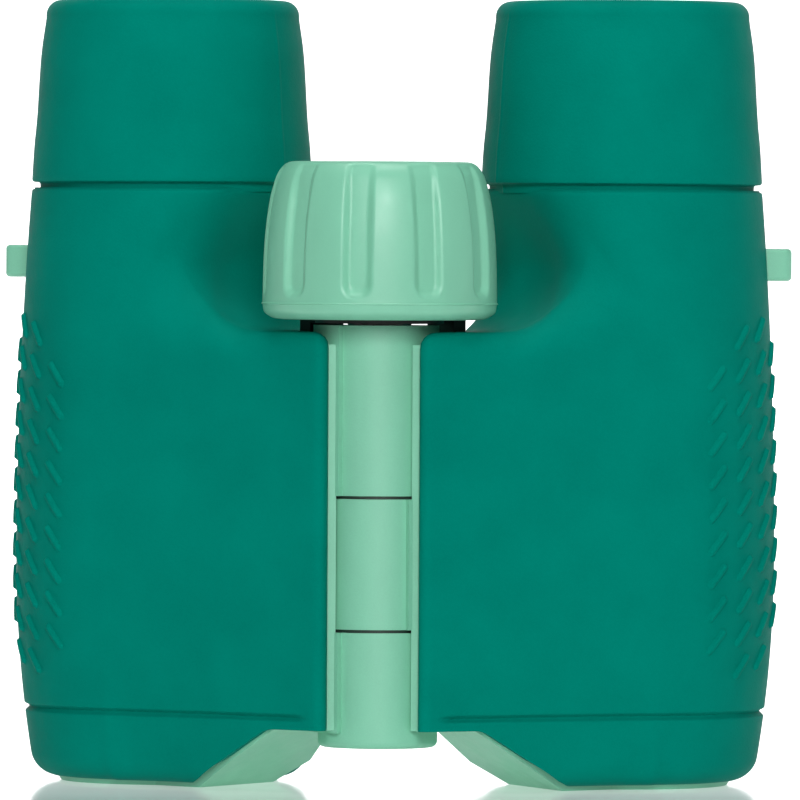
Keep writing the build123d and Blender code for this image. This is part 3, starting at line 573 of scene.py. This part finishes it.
def glass_material(name, coating):
    """Optical glass with the tint of its coating and a trace of dust."""
    g = Graph(name)
    dust = g.noise(0.5, 4.0, 0.7)
    shade = g.mix(g.remap(g.noise(7.0), 0.3, 0.7, 0.0, 0.12), (0.97, 0.98, 1.0, 1.0), coating)
    roughness = g.remap(dust, 0.5, 0.8, 0.01, 0.07)
    tinted = {"Base_Color": shade, "Roughness": roughness, "Transmission_Weight": 1.0, "IOR": 1.52}
    return g.surface(**tinted, Specular_Tint=coating, Coat_Weight=0.3, Coat_Roughness=0.02)


GREEN, MINT, CHARCOAL = srgb(0, 128, 112), srgb(130, 203, 172), srgb(28, 30, 31)
green_rubber = rubber_material("green_rubber", GREEN)
mint_plastic = plastic_material("mint_plastic", MINT, 0.42)
wheel_plastic = plastic_material("wheel_plastic", MINT, 0.38, grain=0.008, speckle=0.05)
black_plastic = plastic_material("black_plastic", CHARCOAL, 0.45, grain=0.02)
steel = metal_material("turned_steel", (0.60, 0.61, 0.62, 1.0), 0.30)
brass = metal_material("turned_brass", (0.72, 0.52, 0.24, 1.0), 0.30)
nylon = plastic_material("dark_nylon", srgb(38, 58, 50), 0.50)
coated_glass = glass_material("coated_glass", srgb(150, 120, 200))

FINISHES = {
    mint_plastic: ("shell", "hinge_end_cap"),
    wheel_plastic: ("wheel_cap",),
    black_plastic: (
        "eyepiece_tube", "eye_lens_ring", "lens_spacer", "prism_holder", "field_stop",
        "focus_arm", "objective_cell", "objective_ring", "bridge_hub",
    ),
    coated_glass: ("eye_lens", "field_lens", "half_prism", "roof_prism", "objective_lens"),
    steel: ("focus_rod", "hinge_pin", "hinge_end_screw", "wheel_screw", "wheel_washer"),
    brass: ("wheel_bush",),
    nylon: ("lower_hinge_washer", "upper_hinge_washer"),
}
for material, nodes in FINISHES.items():
    for node in nodes:
        for name in (node, "left_" + node, "right_" + node):
            if name in bpy.data.objects:
                for place in bpy.data.objects[name].material_slots:
                    place.material = material

ARMOUR = armour_grid()
for side in SIDES:
    make_armour(side, green_rubber)
    make_ribs(side, green_rubber)
    make_eyecup(side, green_rubber)
make_wheel(wheel_plastic)


# ---- floor, light and camera ---------------------------------------------------------------------
def floor_material():
    """Pale glossy table top, with the faintest unevenness, and a painted glow: none in front of the object,
    rising from just in front of it to just behind it, and more again far back.
    """
    g = Graph("pale_floor")
    shade = g.ramp(g.noise(60.0), (0.3, (0.90, 0.905, 0.91, 1)), (0.7, (0.92, 0.925, 0.925, 1)))
    roughness = g.remap(g.noise(30.0), 0.3, 0.7, 0.08, 0.12)
    # Painted light: the floor glows by depth, brightening behind the object and giving painted bounce light.
    depth = g.add("SeparateXYZ", {"Vector": g.place}).outputs["Y"]
    near = g.remap(depth, -0.05, 0.08, 0.0, 0.75)
    far = g.remap(depth, 0.3, 2.0, 0.0, 0.3)
    painted_floor_glow = g.add("Math", {0: near, 1: far}, operation="ADD").outputs[0]
    light = {"Emission_Color": (1, 1, 1, 1), "Emission_Strength": painted_floor_glow}
    return g.surface(Base_Color=shade, Roughness=roughness, **light)


FLOOR_FRONT, FLOOR_BACK, FLOOR_SIDE, WALL_TOP, WALL_BEND = -3.0, 3.2, 4.0, 3.0, 0.8      # metres


def make_floor():
    """Sheet that lies flat under the object and curves up far behind it."""
    turn = np.linspace(0.05, np.pi / 2, 24)
    bend = zip(FLOOR_BACK + WALL_BEND * np.sin(turn), WALL_BEND * (1 - np.cos(turn)))
    curve = [(FLOOR_FRONT, 0.0), (FLOOR_BACK, 0.0), *bend, (FLOOR_BACK + WALL_BEND, WALL_TOP)]
    points = [(x, y, z) for y, z in curve for x in (-FLOOR_SIDE, FLOOR_SIDE)]
    mesh = bpy.data.meshes.new("floor")
    mesh.from_pydata(points, [], grid_faces(len(curve), 2, wrap=False, flip=False))
    for polygon in mesh.polygons:
        polygon.use_smooth = True
    floor = bpy.data.objects.new("floor", mesh)
    mesh.materials.append(floor_material())
    bpy.context.scene.collection.objects.link(floor)


def area_light(name, place, aim, width, height, power):
    """Soft rectangular light aimed at a point."""
    light = bpy.data.lights.new(name, "AREA")
    light.shape = "RECTANGLE"
    light.size, light.size_y, light.energy = width, height, power
    obj = bpy.data.objects.new(name, light)
    obj.location = place
    obj.rotation_euler = (Vector(aim) - Vector(place)).to_track_quat("-Z", "Y").to_euler()
    bpy.context.scene.collection.objects.link(obj)


# Name, place, aim, width, height and power of each light.
LIGHTS = (
    ("front", (0.10, -1.0, 0.42), (0.0, 0.0, 0.05), 0.42, 0.38, 6.7),
    ("above", (0.0, -0.05, 0.9), (0.0, 0.0, 0.0), 0.6, 0.5, 3.9),
    ("left_side", (-0.8, -0.25, 0.3), (0.0, 0.0, 0.05), 0.3, 0.7, 0.06),
    ("right_side", (0.8, -0.25, 0.3), (0.0, 0.0, 0.05), 0.3, 0.7, 0.06),
)
make_floor()
for light in LIGHTS:
    area_light(*light)

world = bpy.data.worlds.new("studio")
world.use_nodes = True
world.node_tree.nodes["Background"].inputs["Color"].default_value = (1, 1, 1, 1)
world.node_tree.nodes["Background"].inputs["Strength"].default_value = 0.08
bpy.context.scene.world = world
bpy.context.scene.view_settings.view_transform = "Standard"

CAMERA_YAW, CAMERA_ROLL = np.radians(5.0), 0.0053
CAMERA_DISTANCE, CAMERA_RISE = 1.3, 0.0211
camera_data = bpy.data.cameras.new("camera")
camera_data.lens, camera_data.sensor_width, camera_data.clip_start = 461.5, 36.0, 0.05
camera = bpy.data.objects.new("camera", camera_data)
target = Vector((0.0014, 0.0, 0.0489))
across, back = CAMERA_DISTANCE * np.sin(CAMERA_YAW), CAMERA_DISTANCE * np.cos(CAMERA_YAW)
camera.location = target + Vector((across, -back, CAMERA_RISE))
aim = (target - camera.location).to_track_quat("-Z", "Y")
camera.rotation_euler = (aim @ Quaternion((0, 0, 1), CAMERA_ROLL)).to_euler()
bpy.context.scene.collection.objects.link(camera)
bpy.context.scene.camera = camera
